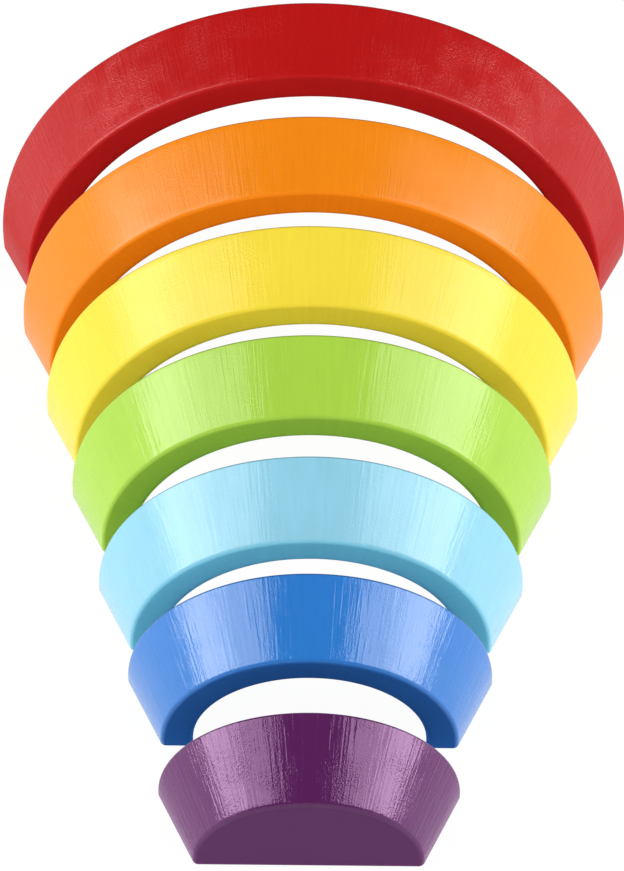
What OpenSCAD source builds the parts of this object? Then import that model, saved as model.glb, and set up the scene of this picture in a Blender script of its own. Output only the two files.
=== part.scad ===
// Rainbow stacker: a solid half-round core and six flared arches of painted wood, standing in a row.
// Each piece is a half ring that widens from its front face to its back face and stands on its feet.
// The row runs along Y with the small core in front. Z is up, and the feet stand at height zero.

/* [Pieces] */
// Depth of every piece, from its front face to its back face
piece_depth = 25; // [20:0.5:40]
// Growth in radius of every piece, from its front face to its back face
flare = 12.7; // [8:0.1:18]
// Thickness of the arches, measured along the radius
wall = 11.4; // [8:0.1:16]
// Room between two nested pieces, measured along the radius
nest_clearance = 0.8; // [0.4:0.1:3]
// Radius of the solid core at its front face
core_radius = 35.7; // [25:0.1:60]
// Radius of the rounding on the front edges
edge_radius = 2; // [1:0.1:3]
// Radius of the rounding on the back edges
back_edge_radius = 0.6; // [0.3:0.1:3]
// Radius of the rounding under the feet
foot_radius = 3; // [1:0.1:4]

/* [Row] */
// Space between the purple core and the blue arch
blue_gap = 18; // [6:0.5:40]
// Space between the blue arch and the light blue arch
light_blue_gap = 12; // [6:0.5:40]
// Space between the light blue arch and the green arch
green_gap = 16; // [6:0.5:40]
// Space between the green arch and the yellow arch
yellow_gap = 13; // [6:0.5:40]
// Space between the yellow arch and the orange arch
orange_gap = 15.5; // [6:0.5:40]
// Space between the orange arch and the red arch
red_gap = 20.5; // [6:0.5:40]

/* [Hidden] */
$fn = 96;

// Steps in the rounding of each corner of the profile, and in the rounding under the feet
corner_steps = 5;
foot_steps = 4;

// Angle between the outer surface and the row's direction
flare_angle = atan(flare / piece_depth);
// Step in radius from one piece to the next
pitch = wall + nest_clearance;
// Height of the half ring's axis, which leaves room for the rounding under the feet
axis_height = foot_radius;

gaps = [blue_gap, light_blue_gap, green_gap, yellow_gap, orange_gap, red_gap];
row_length = (len(gaps) + 1) * piece_depth + total(gaps, len(gaps));

// Sum of the first entries of a list
function total(list, count) = count == 0 ? 0 : list[count - 1] + total(list, count - 1);

// Place of a piece's front face along the row, counting the core as piece 0
function front_place(index) = index * piece_depth + total(gaps, index) - row_length / 2;

// Radius of a piece's outer surface at its front face
function outer_radius(index) = core_radius + index * pitch;

// A corner of an outline: its point before rounding, the directions of the two sides that meet there,
// as the angles they face, and the radius of its rounding.
// The argument is the radius of the slanted side at the front face.
function outer_front_corner(radius) = [[radius, 0], -90, -flare_angle, edge_radius];
function outer_back_corner(radius) = [[radius + flare, piece_depth], -flare_angle, 90, back_edge_radius];
function inner_back_corner(radius) = [[radius + flare, piece_depth], 90, 180 - flare_angle, back_edge_radius];
function inner_front_corner(radius) = [[radius, 0], 180 - flare_angle, 270, edge_radius];

// The same corner on the other side of the axis
function mirrored(corner) = [[-corner[0].x, corner[0].y], 180 - corner[2], 180 - corner[1], corner[3]];

// Corners of one foot of an arch, anticlockwise from above
function arch_corners(index) = [
    outer_front_corner(outer_radius(index)),
    outer_back_corner(outer_radius(index)),
    inner_back_corner(outer_radius(index) - wall),
    inner_front_corner(outer_radius(index) - wall)
];

// Corners of the core's whole base, anticlockwise from above
core_corners = [
    outer_front_corner(core_radius),
    outer_back_corner(core_radius),
    mirrored(outer_back_corner(core_radius)),
    mirrored(outer_front_corner(core_radius))
];

// Unit vector at an angle
function facing(angle) = [cos(angle), sin(angle)];

// Point of a corner when its two sides move inwards by a distance
function inset_point(corner, distance) =
    let (first = facing(corner[1]), last = facing(corner[2]))
        corner[0] - distance * (first + last) / (1 + first * last);

// Points along the rounding of a corner when its sides move inwards, which shrinks the rounding to a
// point by the time they have moved by the foot's own rounding
function corner_arc(corner, inset) =
    let (
        radius = corner[3] * (1 - inset / foot_radius),
        centre = inset_point(corner, inset + radius)
    )
        [
            for (step = [0:corner_steps])
                centre + radius * facing(corner[1] + (corner[2] - corner[1]) * step / corner_steps)
        ];

// Closed outline around a list of corners, with its sides moved inwards
function outline(corners, inset) = [for (corner = corners) each corner_arc(corner, inset)];

// Half turn of a profile about the Y axis, from the right foot over the crown to the left foot.
// The profile's points are given as radius and depth.
module half_turn(profile) {
    rotate([90, 0, 0])
        rotate_extrude(angle = 180)
            polygon([for (point = profile) [point.x, -point.y]]);
}

// Slice under an outline, as deep as the foot's rounding, whose lower edges are rounded all the way round
module rounded_sole(corners) {
    corner_points = corner_steps + 1;
    ring_points = len(corners) * corner_points;
    flat_start = foot_steps * ring_points;
    rings = [
        for (step = [0:foot_steps - 1])
            let (angle = step * 90 / foot_steps)
                for (point = outline(corners, foot_radius * (1 - cos(angle))))
                    [point.x, point.y, -foot_radius * sin(angle)]
    ];
    flat = [
        for (corner = corners)
            let (point = inset_point(corner, foot_radius))
                [point.x, point.y, -foot_radius]
    ];
    top_face = [for (point = [ring_points - 1:-1:0]) point];
    side_faces = [
        for (step = [0:foot_steps - 2])
            for (point = [0:ring_points - 1])
                let (first = step * ring_points, next = (point + 1) % ring_points)
                    each [
                        [first + point, first + next, first + ring_points + next],
                        [first + point, first + ring_points + next, first + ring_points + point]
                    ]
    ];
    last_ring = flat_start - ring_points;
    corner_faces = [
        for (corner = [0:len(corners) - 1])
            for (step = [0:corner_steps - 1])
                let (point = last_ring + corner * corner_points + step)
                    [point, point + 1, flat_start + corner]
    ];
    edge_faces = [
        for (corner = [0:len(corners) - 1])
            let (
                after = (corner + 1) % len(corners),
                point = last_ring + corner * corner_points + corner_steps,
                next = last_ring + after * corner_points
            )
                each [
                    [point, next, flat_start + after],
                    [point, flat_start + after, flat_start + corner]
                ]
    ];
    bottom_face = [for (corner = [0:len(corners) - 1]) flat_start + corner];
    polyhedron(
        points = concat(rings, flat),
        faces = concat([top_face], side_faces, corner_faces, edge_faces, [bottom_face])
    );
}

// Sets a piece down at its place in the row
module in_row(index) {
    translate([0, front_place(index), axis_height])
        children();
}

// A flared half ring on two rounded feet
module arch(index) {
    corners = arch_corners(index);
    in_row(index) {
        half_turn(outline(corners, 0));
        rounded_sole(corners);
        mirror([1, 0, 0])
            rounded_sole(corners);
    }
}

// The solid middle piece: a flared half disc on one wide base
module core() {
    rim = [outer_front_corner(core_radius), outer_back_corner(core_radius)];
    in_row(0) {
        half_turn(concat([[0, 0]], outline(rim, 0), [[0, piece_depth]]));
        rounded_sole(core_corners);
    }
}

module purple_core() {
    color("#602762")
        core();
}

module blue_arch() {
    color("#3279d0")
        arch(1);
}

module light_blue_arch() {
    color("#92d5ef")
        arch(2);
}

module green_arch() {
    color("#acd849")
        arch(3);
}

module yellow_arch() {
    color("#fee847")
        arch(4);
}

module orange_arch() {
    color("#f7891b")
        arch(5);
}

module red_arch() {
    color("#b41a1a")
        arch(6);
}

purple_core();
blue_arch();
light_blue_arch();
green_arch();
yellow_arch();
orange_arch();
red_arch();
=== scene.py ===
import math
from collections import namedtuple

import bmesh
import bpy
from mathutils import Matrix, Vector, noise


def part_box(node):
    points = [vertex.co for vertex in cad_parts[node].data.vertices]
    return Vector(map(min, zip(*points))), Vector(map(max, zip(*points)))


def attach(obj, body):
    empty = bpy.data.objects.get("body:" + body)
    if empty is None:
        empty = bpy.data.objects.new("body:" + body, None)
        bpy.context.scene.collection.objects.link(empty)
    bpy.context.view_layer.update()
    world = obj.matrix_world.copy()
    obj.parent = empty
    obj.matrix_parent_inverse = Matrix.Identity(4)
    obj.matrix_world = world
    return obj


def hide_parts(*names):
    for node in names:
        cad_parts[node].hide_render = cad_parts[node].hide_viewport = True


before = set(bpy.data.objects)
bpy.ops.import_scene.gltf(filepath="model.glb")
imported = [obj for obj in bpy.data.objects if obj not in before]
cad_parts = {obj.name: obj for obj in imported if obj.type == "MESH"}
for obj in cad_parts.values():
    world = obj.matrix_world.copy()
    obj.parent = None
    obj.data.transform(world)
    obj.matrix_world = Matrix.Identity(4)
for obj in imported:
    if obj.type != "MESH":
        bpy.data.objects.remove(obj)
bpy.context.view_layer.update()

# Driving dimensions of the pieces, in metres
MM = 0.001
FLARE = 12.7 * MM
WALL = 11.4 * MM
NEST_CLEARANCE = 0.8 * MM
CORE_RADIUS = 35.7 * MM
EDGE_RADIUS = 2 * MM
BACK_EDGE_RADIUS = 0.6 * MM
FOOT_RADIUS = 3 * MM

core_low, core_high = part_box("purple_core")
DEPTH = core_high.y - core_low.y
FLARE_ANGLE = math.atan2(FLARE, DEPTH)
PITCH = WALL + NEST_CLEARANCE
AXIS_HEIGHT = FOOT_RADIUS
QUARTER_TURN = math.pi / 2
HALF_TURN = math.pi

# Fineness of the meshes
STEP_AROUND = 0.7 * MM
CORNER_STEPS = 8
SLANT_STEPS = 14
WALL_STEPS = 5
DISC_STEPS = 16
SOLE_STEPS = 7
MERGE_DISTANCE = 0.001 * MM

# Hand-worked surface: ridges that run from front to back on the outer side, and slow hollows everywhere
RIDGE_HEIGHT = 0.022 * MM
RIDGE_WIDTH = 3.2 * MM
RIDGE_LENGTH = 45 * MM
HOLLOW_HEIGHT = 0.06 * MM
HOLLOW_WIDTH = 17 * MM

# One point of a profile, as radius and depth: its place on the half ring and the place to which the foot's
# rounding draws it in, the direction it faces, how far it belongs to the outer side, and the mark on the
# paint there, which is worn, plain, or painted shade: a dark line along the back rim
Station = namedtuple("Station", "place sole normal outer edge")
WORN = 1
PLAIN = 0
PAINTED_RIM_SHADE = -1

# One piece: its CAD node, its material slot, its place in the size order, and its look.
# The colour of the faces holds painted shade and light: a darker or lighter copy of the paint, for how light
# falls on them.
# The outer side has a clear coat of some roughness and weight. Shine and sheen are light in the paint's own
# colour, all over and at grazing angles, and the foot's share is what is left of coat and shine at the feet.
# The last two values scale the streaks and the pebbles of the paint.
Piece = namedtuple("Piece", "node slot index colour face roughness coat shine foot_share sheen ridges pebble")

FRONTS = {name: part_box(name)[0].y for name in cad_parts}

PIECES = [
    Piece("purple_core", "purple_paint", 0, "571c58", "4b2c4b", 0.12, 0.40, 0.45, 0.20, 0.40, 1.0, 1.1),
    Piece("blue_arch", "blue_paint", 1, "2f7fd5", "2d69b9", 0.11, 0.78, 0.05, 0.90, 0.06, 1.0, 1.1),
    Piece("light_blue_arch", "light_blue_paint", 2, "95d5ec", "7cddf7", 0.12, 0.52, 0.05, 1.0, 0.0, 0.8, 0.8),
    Piece("green_arch", "green_paint", 3, "aed94a", "a4cd46", 0.12, 0.48, 0.05, 0.80, 0.0, 0.9, 0.9),
    Piece("yellow_arch", "yellow_paint", 4, "ffe143", "ffdf41", 0.15, 0.36, 0.05, 0.90, 0.0, 0.8, 0.8),
    Piece("orange_arch", "orange_paint", 5, "fb8d16", "f88614", 0.17, 0.38, 0.05, 0.60, 0.0, 0.9, 0.75),
    Piece("red_arch", "red_paint", 6, "be1616", "b31b1b", 0.18, 0.28, 0.35, 0.05, 0.12, 1.1, 1.6),
]

# Kinds of streak in the paint, from the finest: length along the rim, length from front to back, detail of
# the noise, and height
Streak = namedtuple("Streak", "along depth detail height")
STREAKS = [
    Streak(0.75 * MM, 13 * MM, 2.0, 0.085 * MM),
    Streak(1.6 * MM, 20 * MM, 1.0, 0.085 * MM),
    Streak(4.5 * MM, 60 * MM, 1.0, 0.06 * MM),
    Streak(6 * MM, 0.7 * MM, 1.0, 0.02 * MM),
]
# Ridges that stand apart, and the noise levels between which they rise
LONE_RIDGE = Streak(1.2 * MM, 24 * MM, 1.0, 0.03 * MM)
LONE_RIDGE_START = 0.52
LONE_RIDGE_END = 0.72

# Pebbled paint: its grain, and the patches where it is strong
PEBBLE_SIZE = 0.55 * MM
PEBBLE_HEIGHT = 0.105 * MM
PEBBLE_DETAIL = 1.5
PATCH_SIZE = 11 * MM
PATCH_DETAIL = 1.0
PATCH_START = 0.38
PATCH_END = 0.66
PATCH_LEAST_SHARE = 0.25
FACE_PEBBLE_SHARE = 0.25

# Tone of thin and thick paint, and of the painted shade on the back rim, as shares of the paint's colour
THIN_SHARE = 1.06
THICK_SHARE = 0.93
PAINTED_RIM_SHADE_SHARE = 0.35
# Size of the slow clouds of tone, their share beside the streaks, and the spread of both from thick to thin
CLOUD_SIZE = 30 * MM
CLOUD_DETAIL = 2.0
CLOUD_SHARE = 0.6
TONE_LOW = -0.4
TONE_HIGH = 1.4
# Strength of the worn edges and of the painted shade along the back rim
WORN_WEIGHT = 0.5
PAINTED_RIM_SHADE_WEIGHT = 0.85

# Roughness of the faces, and the coat's index of refraction
FACE_ROUGHNESS = 0.45
COAT_IOR = 1.7
# Gloss rises from the feet to the crown between these sines of the angle around the arch
GLOSS_START = 0.15
GLOSS_FULL = 0.65
# Power that makes a tint paler than its paint
TINT_POWER = 0.5

# Curve of screen colours: the number of levels, the straight part near black and the power above it
SCREEN_LEVELS = 255
SCREEN_STRAIGHT_END = 0.04045
SCREEN_STRAIGHT_SLOPE = 12.92
SCREEN_OFFSET = 0.055
SCREEN_POWER = 2.4

WHITE = (1, 1, 1, 1)


def outer_radius(index):
    """Radius of a piece's outer side at its front face."""
    return CORE_RADIUS + index * PITCH


def facing(angle):
    """Unit vector at an angle."""
    return Vector((math.cos(angle), math.sin(angle)))


def corner(point, start, end, radius, outer_start, outer_end, paint):
    """Stations along the rounding of a corner, between the angles that its two sides face."""
    first, last = facing(start), facing(end)
    inward = (first + last) / (1 + first.dot(last))
    centre = point - inward * radius
    sole = point - inward * FOOT_RADIUS
    stations = []
    for step in range(CORNER_STEPS + 1):
        share = step / CORNER_STEPS
        normal = facing(start + (end - start) * share)
        outer = outer_start + (outer_end - outer_start) * share
        edge = paint * math.sin(math.pi * share)
        stations.append(Station(centre + normal * radius, sole, normal, outer, edge))
    return stations


def side(first, last, steps):
    """Stations strictly between the ends of a straight side."""
    stations = []
    for step in range(1, steps):
        share = step / steps
        place, sole = first.place.lerp(last.place, share), first.sole.lerp(last.sole, share)
        stations.append(Station(place, sole, first.normal, first.outer, PLAIN))
    return stations


def outer_corners(radius):
    """The front and the back corner of an outer side."""
    front, back = Vector((radius, 0)), Vector((radius + FLARE, DEPTH))
    return (
        corner(front, -QUARTER_TURN, -FLARE_ANGLE, EDGE_RADIUS, 0, 1, WORN),
        # The back rim of the outer side carries painted shade, a dark line
        corner(back, -FLARE_ANGLE, QUARTER_TURN, BACK_EDGE_RADIUS, 1, 0, PAINTED_RIM_SHADE),
    )


def inner_corners(radius):
    """The back and the front corner of an inner side."""
    front, back = Vector((radius, 0)), Vector((radius + FLARE, DEPTH))
    inward = HALF_TURN - FLARE_ANGLE
    return (
        corner(back, QUARTER_TURN, inward, BACK_EDGE_RADIUS, 0, 0, PLAIN),
        corner(front, inward, HALF_TURN + QUARTER_TURN, EDGE_RADIUS, 0, 0, WORN),
    )


def arch_profile(index):
    """Closed profile of an arch, from the front of its outer side to the front face."""
    radius = outer_radius(index)
    outer_front, outer_back = outer_corners(radius)
    inner_back, inner_front = inner_corners(radius - WALL)
    return [
        *outer_front,
        *side(outer_front[-1], outer_back[0], SLANT_STEPS),
        *outer_back,
        *side(outer_back[-1], inner_back[0], WALL_STEPS),
        *inner_back,
        *side(inner_back[-1], inner_front[0], SLANT_STEPS),
        *inner_front,
        *side(inner_front[-1], outer_front[0], WALL_STEPS),
    ]


def core_profile():
    """Open profile of the core, from the axis over its outer side and back to the axis."""
    front, back = outer_corners(CORE_RADIUS)
    front_axis = Station(Vector((0, 0)), Vector((0, FOOT_RADIUS)), front[0].normal, 0, PLAIN)
    back_axis = Station(Vector((0, DEPTH)), Vector((0, DEPTH - FOOT_RADIUS)), back[-1].normal, 0, PLAIN)
    return [
        front_axis,
        *side(front_axis, front[0], DISC_STEPS),
        *front,
        *side(front[-1], back[0], SLANT_STEPS),
        *back,
        *side(back[-1], back_axis, DISC_STEPS),
        back_axis,
    ]


def relief(piece, along, depth, outer):
    """How far the worked surface lies under the true one, at a place along the arch and a depth."""
    ridge = noise.noise(Vector((along / RIDGE_WIDTH, depth / RIDGE_LENGTH, piece.index)))
    hollow = noise.noise(Vector((along / HOLLOW_WIDTH, depth / HOLLOW_WIDTH, piece.index)))
    ridge_share = outer * piece.ridges * (1 + ridge) / 2
    return RIDGE_HEIGHT * ridge_share + HOLLOW_HEIGHT * (1 + hollow) / 2


def surface_point(piece, station, angle, drop):
    """Place of a station turned to an angle, or lowered into the sole by an angle of its rounding."""
    mean_radius = outer_radius(piece.index) + FLARE / 2
    drawn_in = 1 - math.cos(drop)
    sunk = relief(piece, mean_radius * angle, station.place.y, station.outer) * math.cos(drop)
    radius, depth = station.place.lerp(station.sole, drawn_in) - station.normal * sunk
    height = AXIS_HEIGHT - FOOT_RADIUS * math.sin(drop)
    return Vector(
        (
            radius * math.cos(angle),
            FRONTS[piece.node] + depth,
            height + radius * math.sin(angle),
        )
    )


def angles_around(index):
    """Angles of the rings of a piece, from the right foot over the crown to the left foot."""
    back_radius = outer_radius(index) + FLARE
    steps = round(math.pi * back_radius / STEP_AROUND)
    return [HALF_TURN * step / steps for step in range(steps + 1)]


def sole_drops():
    """Angles of the rounding under a foot, from just below the foot to the flat sole."""
    return [QUARTER_TURN * step / SOLE_STEPS for step in range(1, SOLE_STEPS + 1)]


def add_rings(mesh, piece, turns):
    """Rings of vertices. Each turn is a drop into the sole, and that ring's stations with their angles."""
    outer_layer = mesh.verts.layers.float["outer"]
    edge_layer = mesh.verts.layers.float["edge"]
    rings = []
    for drop, stations in turns:
        ring = []
        for station, turned in stations:
            vertex = mesh.verts.new(surface_point(piece, station, turned, drop))
            vertex[outer_layer] = station.outer
            vertex[edge_layer] = station.edge if drop == 0 else math.sin(2 * drop)
            ring.append(vertex)
        rings.append(ring)
    return rings


def bridge(mesh, rings, closed):
    """Faces between each ring and the next."""
    for ring, following in zip(rings, rings[1:]):
        count = len(ring) if closed else len(ring) - 1
        for point in range(count):
            after = (point + 1) % len(ring)
            mesh.faces.new((ring[point], ring[after], following[after], following[point]))


def arch_faces(mesh, piece):
    """An arch: one closed tube from sole to sole."""
    profile = arch_profile(piece.index)
    turns = [(drop, [(s, 0) for s in profile]) for drop in reversed(sole_drops())]
    turns += [(0, [(s, angle) for s in profile]) for angle in angles_around(piece.index)]
    turns += [(drop, [(s, HALF_TURN) for s in profile]) for drop in sole_drops()]
    rings = add_rings(mesh, piece, turns)
    bridge(mesh, rings, closed=True)
    mesh.faces.new(rings[0])
    mesh.faces.new(reversed(rings[-1]))


def core_faces(mesh, piece):
    """The core: a half disc turned about its axis, on one sole that runs right across."""
    profile = core_profile()
    turns = [(0, [(s, angle) for s in profile]) for angle in angles_around(piece.index)]
    rings = add_rings(mesh, piece, turns)
    bridge(mesh, rings, closed=False)
    base = [(s, 0) for s in profile] + [(s, HALF_TURN) for s in reversed(profile[1:-1])]
    sole = add_rings(mesh, piece, [(drop, base) for drop in [0, *sole_drops()]])
    bridge(mesh, list(reversed(sole)), closed=True)
    mesh.faces.new(sole[-1])


def build_piece(piece, material):
    """The finished object of one piece, in place of its CAD node."""
    mesh = bmesh.new()
    mesh.verts.layers.float.new("outer")
    mesh.verts.layers.float.new("edge")
    if piece.index == 0:
        core_faces(mesh, piece)
    else:
        arch_faces(mesh, piece)
    bmesh.ops.remove_doubles(mesh, verts=mesh.verts, dist=MERGE_DISTANCE)
    bmesh.ops.recalc_face_normals(mesh, faces=mesh.faces)
    for face in mesh.faces:
        face.smooth = True
    data = bpy.data.meshes.new(piece.node + "_wood")
    mesh.to_mesh(data)
    mesh.free()
    data.materials.append(material)
    built = bpy.data.objects.new(piece.node + "_wood", data)
    bpy.context.scene.collection.objects.link(built)
    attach(built, piece.node)
    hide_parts(piece.node)


def linear(code):
    """Linear colour of a six-digit screen colour."""
    levels = [level / SCREEN_LEVELS for level in bytes.fromhex(code)]
    return tuple(
        level / SCREEN_STRAIGHT_SLOPE
        if level <= SCREEN_STRAIGHT_END
        else ((level + SCREEN_OFFSET) / (1 + SCREEN_OFFSET)) ** SCREEN_POWER
        for level in levels
    )


def scaled(code, share):
    """Linear colour of a screen colour, times a share."""
    return tuple(min(1.0, level * share) for level in linear(code)) + (1.0,)


def tint(code):
    """A paler tint of a screen colour, for light that shines in the paint's own colour."""
    levels = linear(code)
    return tuple((level / max(levels)) ** TINT_POWER for level in levels) + (1.0,)


class Nodes:
    """Short calls that add nodes to a tree. A value that is a socket is linked, and any other is set."""

    def __init__(self, tree):
        self.tree = tree
        tree.nodes.clear()

    def add(self, kind, settings=None, **inputs):
        """A node with its settings and inputs, whose names have underscores for spaces."""
        made = self.tree.nodes.new(kind)
        for name, value in (settings or {}).items():
            setattr(made, name, value)
        for name, value in inputs.items():
            self.feed(made.inputs[name.replace("_", " ")], value)
        return made

    def feed(self, socket, value):
        """Links a socket to another one, or sets its value."""
        if isinstance(value, bpy.types.NodeSocket):
            self.tree.links.new(value, socket)
        else:
            socket.default_value = value

    def math(self, operation, first, second=0.0):
        """Result of a sum, product or other operation."""
        made = self.tree.nodes.new("ShaderNodeMath")
        made.operation = operation
        self.feed(made.inputs[0], first)
        self.feed(made.inputs[1], second)
        return made.outputs[0]

    def spread(self, value, low, high):
        """A value from 0 to 1, spread over another range."""
        return self.math("ADD", self.math("MULTIPLY", value, high - low), low)

    def ramp(self, value, start, end, low=0.0, high=1.0, smooth=False):
        """A value between two limits, spread over another range and held beyond them."""
        kind = "SMOOTHSTEP" if smooth else "LINEAR"
        made = self.add("ShaderNodeMapRange", {"interpolation_type": kind}, Value=value)
        for name, limit in (("From Min", start), ("From Max", end), ("To Min", low), ("To Max", high)):
            self.feed(made.inputs[name], limit)
        return made.outputs[0]

    def noise(self, vector, size, detail):
        """Noise of one size in all directions."""
        return self.stretched_noise(vector, (size, size, size), detail)

    def stretched_noise(self, vector, lengths, detail):
        """Noise with a length of its own in each direction."""
        places = self.add("ShaderNodeMapping", Vector=vector, Scale=[1 / length for length in lengths])
        made = self.add("ShaderNodeTexNoise", Vector=places.outputs[0], Scale=1.0, Detail=detail)
        return made.outputs["Fac"]

    def seen(self):
        """1 for what is seen straight, mirrored or through glass, and 0 for light that falls on things."""
        path = self.add("ShaderNodeLightPath")
        mirrored = self.math("MAXIMUM", path.outputs["Is Glossy Ray"], path.outputs["Is Transmission Ray"])
        return self.math("MAXIMUM", path.outputs["Is Camera Ray"], mirrored)

    def mix_colour(self, share, first, second):
        """Mix of two colours, with a share of the second."""
        made = self.tree.nodes.new("ShaderNodeMix")
        made.data_type = "RGBA"
        self.feed(made.inputs["Factor"], share)
        self.feed(made.inputs["A"], first)
        self.feed(made.inputs["B"], second)
        return made.outputs["Result"]


def painted_wood(piece):
    """Paint over sanded wood: matt on the faces, with a glossy coat on the outer side."""
    material = bpy.data.materials.new(piece.slot)
    material.use_nodes = True
    n = Nodes(material.node_tree)
    place = n.add("ShaderNodeTexCoord").outputs["Object"]
    split = n.add("ShaderNodeSeparateXYZ", Vector=place)
    height = n.math("SUBTRACT", split.outputs["Z"], AXIS_HEIGHT)
    turn = n.math("ARCTAN2", height, split.outputs["X"])
    along = n.math("MULTIPLY", turn, outer_radius(piece.index) + FLARE / 2)
    around = n.add("ShaderNodeCombineXYZ", X=along, Y=split.outputs["Y"], Z=float(piece.index)).outputs[0]
    outer = n.add("ShaderNodeAttribute", {"attribute_name": "outer"}).outputs["Fac"]
    # The edge attribute holds worn edges above zero and the painted shade of the back rim below zero
    edge = n.add("ShaderNodeAttribute", {"attribute_name": "edge"}).outputs["Fac"]

    def streak_noise(kind):
        """Noise of one kind of streak."""
        return n.stretched_noise(around, (kind.along, kind.depth, 1), kind.detail)

    levels = [streak_noise(kind) for kind in STREAKS]
    medium = levels[1]
    lone_ridge = n.ramp(streak_noise(LONE_RIDGE), LONE_RIDGE_START, LONE_RIDGE_END, smooth=True)
    relief_height = n.math("MULTIPLY", lone_ridge, LONE_RIDGE.height)
    for kind, level in zip(STREAKS, levels):
        relief_height = n.math("ADD", relief_height, n.math("MULTIPLY", level, kind.height))
    relief_height = n.math("MULTIPLY", relief_height, n.math("MULTIPLY", outer, piece.ridges))

    pebble = n.noise(place, PEBBLE_SIZE, PEBBLE_DETAIL)
    patch = n.ramp(n.noise(place, PATCH_SIZE, PATCH_DETAIL), PATCH_START, PATCH_END, PATCH_LEAST_SHARE)
    grain = n.math("MULTIPLY", n.math("MULTIPLY", pebble, patch), PEBBLE_HEIGHT * piece.pebble)
    grain = n.math("MULTIPLY", grain, n.spread(outer, FACE_PEBBLE_SHARE, 1.0))
    relief_height = n.math("ADD", relief_height, grain)
    bump = n.add("ShaderNodeBump", Height=relief_height, Strength=1.0, Distance=1.0).outputs[0]

    def shade(share):
        """The paint times a share, from the colour of the faces, which holds painted shade and light, to that
        of the outer side.
        """
        return n.mix_colour(outer, scaled(piece.face, share), scaled(piece.colour, share))

    thin = shade(THIN_SHARE)
    cloud = n.math("MULTIPLY", n.noise(place, CLOUD_SIZE, CLOUD_DETAIL), CLOUD_SHARE)
    tone = n.math("ADD", cloud, n.math("MULTIPLY", medium, 1 - CLOUD_SHARE))
    colour = n.mix_colour(n.spread(tone, TONE_LOW, TONE_HIGH), shade(THICK_SHARE), thin)
    worn = n.math("MULTIPLY", n.math("MAXIMUM", edge, 0.0), n.math("MULTIPLY", pebble, WORN_WEIGHT))
    colour = n.mix_colour(worn, colour, thin)
    # Painted shade: a dark line along the back rim of the outer side
    painted_rim_shade = n.math("MULTIPLY", n.math("MINIMUM", edge, 0.0), -PAINTED_RIM_SHADE_WEIGHT)
    colour = n.mix_colour(painted_rim_shade, colour, shade(PAINTED_RIM_SHADE_SHARE))

    gloss = n.ramp(n.math("SINE", turn), GLOSS_START, GLOSS_FULL, piece.foot_share, smooth=True)
    gloss = n.math("MULTIPLY", outer, gloss)
    rough = n.spread(outer, FACE_ROUGHNESS, piece.roughness)
    shader = n.add("ShaderNodeBsdfPrincipled", Base_Color=colour, Roughness=rough, Normal=bump)
    settings = {
        "Specular IOR Level": n.math("MULTIPLY", gloss, piece.shine),
        "Specular Tint": tint(piece.colour),
        "Sheen Weight": piece.sheen,
        "Sheen Tint": tint(piece.colour),
        "Coat Weight": n.math("MULTIPLY", gloss, piece.coat),
        "Coat Roughness": piece.roughness,
        "Coat IOR": COAT_IOR,
        "Coat Normal": bump,
    }
    for name, value in settings.items():
        n.feed(shader.inputs[name], value)
    n.add("ShaderNodeOutputMaterial", Surface=shader.outputs[0])
    return material


for piece in PIECES:
    build_piece(piece, painted_wood(piece))

# The photo's camera, found by fitting the pieces' rims to it
IMAGE_HEIGHT = 871
FOCAL_PIXELS = 2143
SENSOR = 36.0
CAMERA_TARGET = Vector((-0.13, 16.64, 30.0)) * MM
CAMERA_DISTANCE = 743.6 * MM
CAMERA_ELEVATION = math.radians(49.862)
CAMERA_YAW = math.radians(-0.178)
CAMERA_ROLL = math.radians(0.716)


def add_camera():
    """Camera at the photo's place."""
    data = bpy.data.cameras.new("photo_camera")
    data.sensor_width = SENSOR
    data.lens = FOCAL_PIXELS * SENSOR / IMAGE_HEIGHT
    made = bpy.data.objects.new("photo_camera", data)
    bpy.context.scene.collection.objects.link(made)
    turn = (
        Matrix.Rotation(CAMERA_YAW, 4, "Z")
        @ Matrix.Rotation(QUARTER_TURN - CAMERA_ELEVATION, 4, "X")
        @ Matrix.Rotation(CAMERA_ROLL, 4, "Z")
    )
    back = turn.to_3x3() @ Vector((0, 0, 1))
    made.matrix_world = Matrix.Translation(CAMERA_TARGET + back * CAMERA_DISTANCE) @ turn
    bpy.context.scene.camera = made


add_camera()

# Two stacked softboxes on each side, the lower one brighter, that leave the space overhead dark
BOX_TARGET = Vector((0, 0, 40 * MM))
BOX_DISTANCE = 0.80
BOX_LOW = (math.radians(6), math.radians(8))
BOX_MIDDLE = (math.radians(17), math.radians(34))
BOX_HIGH = (math.radians(34), math.radians(57))
BOX_WIDTH = 0.50
LOWER_BRIGHTNESS = 5.9
UPPER_BRIGHTNESS = 3.5


def direction(sideways, forward, elevation):
    """Unit vector to one side, turned forward from that side and raised."""
    return Vector(
        (
            sideways * math.cos(elevation) * math.cos(forward),
            -math.cos(elevation) * math.sin(forward),
            math.sin(elevation),
        )
    )


def add_softbox(name, sideways, start, end, brightness):
    """Area lamp whose long side runs from a low direction to a high one."""
    low, high = direction(sideways, *start), direction(sideways, *end)
    outward = (low + high).normalized()
    upward = (high - low).normalized()
    rightward = upward.cross(outward)
    data = bpy.data.lights.new(name, "AREA")
    data.shape = "RECTANGLE"
    data.size, data.size_y = BOX_WIDTH, BOX_DISTANCE * (high - low).length
    data.energy = brightness * math.pi * data.size * data.size_y
    made = bpy.data.objects.new(name, data)
    bpy.context.scene.collection.objects.link(made)
    turn = Matrix((rightward, upward, outward)).transposed().to_4x4()
    made.matrix_world = Matrix.Translation(BOX_TARGET + outward * BOX_DISTANCE) @ turn


for hand, sideways in (("left", -1), ("right", 1)):
    add_softbox("lower_softbox_" + hand, sideways, BOX_LOW, BOX_MIDDLE, LOWER_BRIGHTNESS)
    add_softbox("upper_softbox_" + hand, sideways, BOX_MIDDLE, BOX_HIGH, UPPER_BRIGHTNESS)

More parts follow.
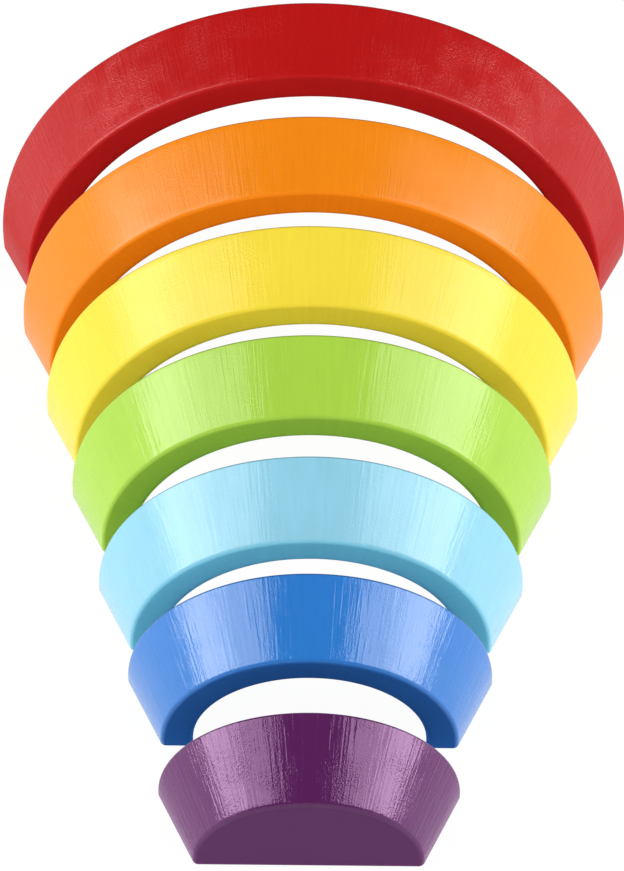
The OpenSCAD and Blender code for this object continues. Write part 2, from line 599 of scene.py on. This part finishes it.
# Studio: a pale horizon under a dim ceiling, with a white backdrop low down. Starts and ends are heights of
# the line of sight.
HORIZON_FRONT = 0.28
HORIZON_BACK = 0.8
CEILING_LIGHT = 0.06
CEILING_START = 0.75
BACKDROP_FULL = 0.20
BACKDROP_END = 0.35


def add_world():
    """Soft light from all round, weakest overhead. The backdrop is white where it is seen or reflected."""
    world = bpy.data.worlds.new("studio")
    bpy.context.scene.world = world
    world.use_nodes = True
    n = Nodes(world.node_tree)
    view = n.add("ShaderNodeTexCoord").outputs["Generated"]
    split = n.add("ShaderNodeSeparateXYZ", Vector=view)
    upward = split.outputs["Z"]
    horizon = n.ramp(split.outputs["Y"], -1.0, 1.0, HORIZON_FRONT, HORIZON_BACK)
    level = n.ramp(upward, 0.0, CEILING_START, horizon, CEILING_LIGHT)
    light = n.add("ShaderNodeBackground", Color=WHITE, Strength=level)
    backdrop = n.ramp(upward, BACKDROP_END, BACKDROP_FULL)
    share = n.math("MULTIPLY", n.seen(), backdrop)
    white = n.add("ShaderNodeBackground", Color=WHITE, Strength=1.0)
    shown = n.add("ShaderNodeMixShader", Fac=share)
    n.feed(shown.inputs[1], light.outputs[0])
    n.feed(shown.inputs[2], white.outputs[0])
    n.add("ShaderNodeOutputWorld", Surface=shown.outputs[0])


add_world()

# Floor, and the share and strength of the white that lifts it where it is seen, so that it shows as white
# in the open and still takes the shadows
FLOOR_SIZE = 60.0
FLOOR_COLOUR = (0.92, 0.92, 0.92, 1.0)
FLOOR_GLOW = 0.93
FLOOR_WHITE = 1.03


def add_floor():
    """White floor that takes soft shadows."""
    half = FLOOR_SIZE / 2
    data = bpy.data.meshes.new("floor")
    corners = [(-half, -half, 0), (half, -half, 0), (half, half, 0), (-half, half, 0)]
    data.from_pydata(corners, [], [(0, 1, 2, 3)])
    made = bpy.data.objects.new("floor", data)
    bpy.context.scene.collection.objects.link(made)
    material = bpy.data.materials.new("pale_floor")
    material.use_nodes = True
    n = Nodes(material.node_tree)
    matt = n.add("ShaderNodeBsdfDiffuse", Color=FLOOR_COLOUR)
    glow = n.add("ShaderNodeEmission", Color=WHITE, Strength=FLOOR_WHITE)
    share = n.math("MULTIPLY", n.seen(), FLOOR_GLOW)
    mixed = n.add("ShaderNodeMixShader", Fac=share)
    n.feed(mixed.inputs[1], matt.outputs[0])
    n.feed(mixed.inputs[2], glow.outputs[0])
    n.add("ShaderNodeOutputMaterial", Surface=mixed.outputs[0])
    data.materials.append(material)


add_floor()

bpy.context.scene.view_settings.view_transform = "Standard"
